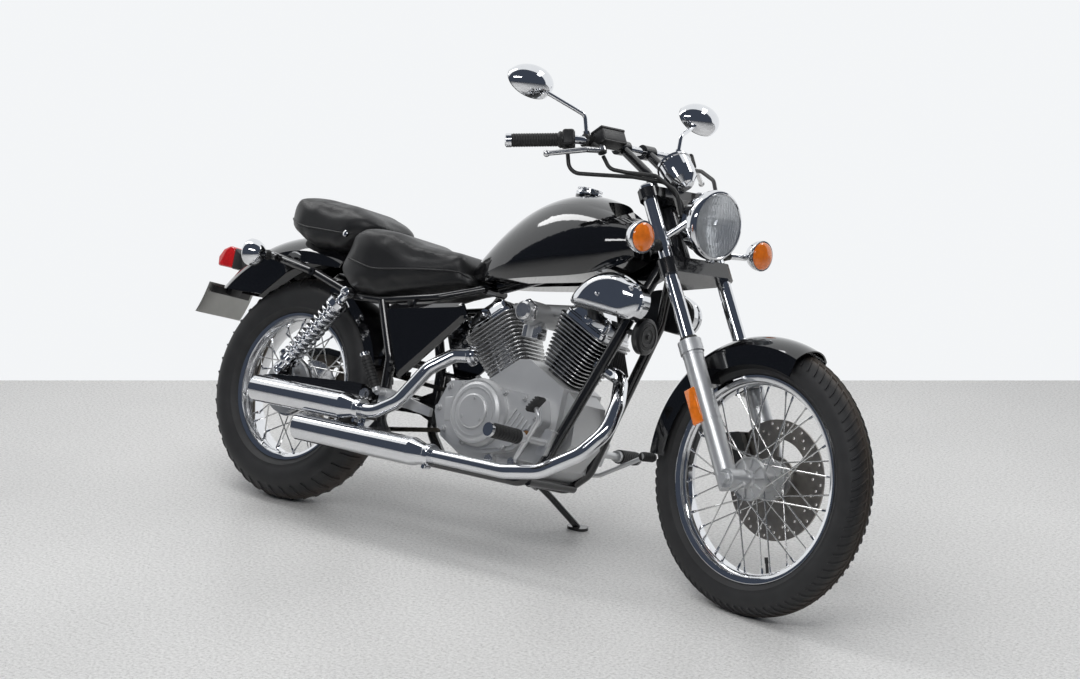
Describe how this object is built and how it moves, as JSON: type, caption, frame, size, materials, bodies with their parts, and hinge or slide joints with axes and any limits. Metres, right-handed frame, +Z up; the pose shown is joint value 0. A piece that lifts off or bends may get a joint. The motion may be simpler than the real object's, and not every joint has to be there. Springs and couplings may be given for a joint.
{
  "type": "cruiser motorcycle",
  "caption": "Cruiser motorcycle with an air-cooled V-twin, wire-spoked wheels, teardrop tank and stepped seat, leaning on its side stand.",
  "frame": {"origin": "middle of the machine's outline, on the floor it is parked on", "axes": "+X towards the front wheel, +Y to the rider's left, +Z up from the floor; the machine leans to +Y on its side stand"},
  "size_m": [2.1908, 0.9612, 1.2226],
  "materials": {
    "frame_black": "gloss black enamel",
    "gloss_black": "deep gloss black lacquer",
    "cast_alloy": "satin, lightly polished",
    "barrel_black": "satin black with bright machined fin edges",
    "chrome": "mirror plated",
    "seat_vinyl": "grained black vinyl",
    "red_lens": "clear moulded, on a black base",
    "plate_grey": "blank sheet, dull",
    "chain_steel": "oiled steel",
    "horn_black": "satin",
    "grip_rubber": "ribbed",
    "switch_plastic": "satin",
    "clear_glass": "fluted clear",
    "caliper_black": "satin",
    "tyre": "road rubber, dusty crown",
    "disc_steel": "ground"
  },
  "bodies": {
    "chassis": {"frame": "frame_black", "swingarm": "frame_black", "rear_brake": "cast_alloy", "rear_shocks": "chrome", "crankcase": "cast_alloy", "engine_covers": "cast_alloy", "cylinders": "barrel_black", "head_covers": "chrome", "carburettor": "cast_alloy", "air_cleaners": "chrome", "exhaust_pipes": "chrome", "mufflers": "chrome", "fuel_tank": "gloss_black", "rider_seat": "seat_vinyl", "passenger_seat": "seat_vinyl", "rear_fender": "gloss_black", "side_covers": "gloss_black", "tail_light": "red_lens", "rear_indicators": "chrome", "number_plate": "plate_grey", "drive_chain": "chain_steel", "chain_guard": "frame_black", "foot_controls": "cast_alloy", "horn": "horn_black"},
    "fork": {"triple_clamps": "frame_black", "fork_tubes": "chrome", "fork_sliders": "cast_alloy", "handlebar": "chrome", "grips": "grip_rubber", "hand_controls": "switch_plastic", "mirrors": "chrome", "headlight": "chrome", "headlight_lens": "clear_glass", "speedometer": "chrome", "front_indicators": "chrome", "front_fender": "gloss_black", "brake_caliper": "caliper_black"},
    "front_wheel": {"front_tyre": "tyre", "front_rim": "chrome", "front_hub": "cast_alloy", "brake_disc": "disc_steel"},
    "rear_wheel": {"rear_tyre": "tyre", "rear_rim": "chrome", "rear_hub": "cast_alloy", "rear_sprocket": "chain_steel"},
    "side_stand": {"side_stand": "frame_black"}
  },
  "joints": [
    {"name": "steering", "type": "hinge", "parent": "chassis", "child": "fork", "pos_m": [0.91058, -0.26803, 0.00737], "axis": [-0.5068, 0.2814, 0.8148], "range_deg": [-28, 52]},
    {"name": "front_wheel_spin", "type": "hinge", "parent": "fork", "child": "front_wheel", "pos_m": [0.78843, -0.17701, 0.30505], "axis": [0.1792, 0.959, -0.2197], "continuous": true},
    {"name": "rear_wheel_spin", "type": "hinge", "parent": "chassis", "child": "rear_wheel", "pos_m": [-0.69854, -0.16924, 0.29346], "axis": [0, 0.9452, -0.3264], "continuous": true},
    {"name": "stand_fold", "type": "hinge", "parent": "chassis", "child": "side_stand", "pos_m": [0.06178, -0.08264, 0.13983], "axis": [0.1993, 0.7537, 0.6262], "range_deg": [0, 98]}
  ]
}
